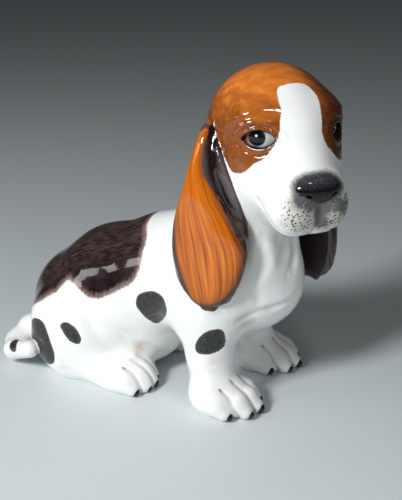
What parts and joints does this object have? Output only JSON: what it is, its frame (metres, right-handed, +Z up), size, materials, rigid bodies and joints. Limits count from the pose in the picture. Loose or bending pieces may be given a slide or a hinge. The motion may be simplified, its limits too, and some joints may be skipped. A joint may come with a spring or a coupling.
{
  "type": "seated basset hound puppy statue in glazed ceramic",
  "caption": "Seated basset hound puppy statue, glazed ceramic, head turned to its right, long hanging ears, tail curled round, flat underside for a floor or shelf.",
  "frame": {"origin": "middle of the statue's bounding box, on the plane that it stands on", "axes": "+Z up, -Y the way the chest faces, -X the dog's right side, to which the head is turned"},
  "size_m": [0.1677, 0.3597, 0.318],
  "materials": {
    "white_glaze": "glossy clear glaze over cool white ground, dark aubergine-brown saddle and spots painted under it",
    "tan_glaze": "glossy glaze over russet tan brushed on the skull and cheeks, white blaze and muzzle",
    "ear_glaze": "glossy glaze over orange-tan brush strokes, dark brown rim and inner face",
    "black_glaze": "glossy black glaze, speckled grey towards the top",
    "eye_glaze": "glossy painted eye, blue-black with a white dot"
  },
  "bodies": {
    "root": {"torso": "white_glaze", "neck": "white_glaze", "head": "tan_glaze", "nose": "black_glaze", "eye_right": "eye_glaze", "eye_left": "eye_glaze", "ear_right": "ear_glaze", "ear_left": "ear_glaze", "foreleg_right": "white_glaze", "foreleg_left": "white_glaze", "forepaw_right": "white_glaze", "forepaw_left": "white_glaze", "thigh_right": "white_glaze", "thigh_left": "white_glaze", "hindfoot_right": "white_glaze", "hindfoot_left": "white_glaze", "tail": "white_glaze"}
  },
  "joints": []
}
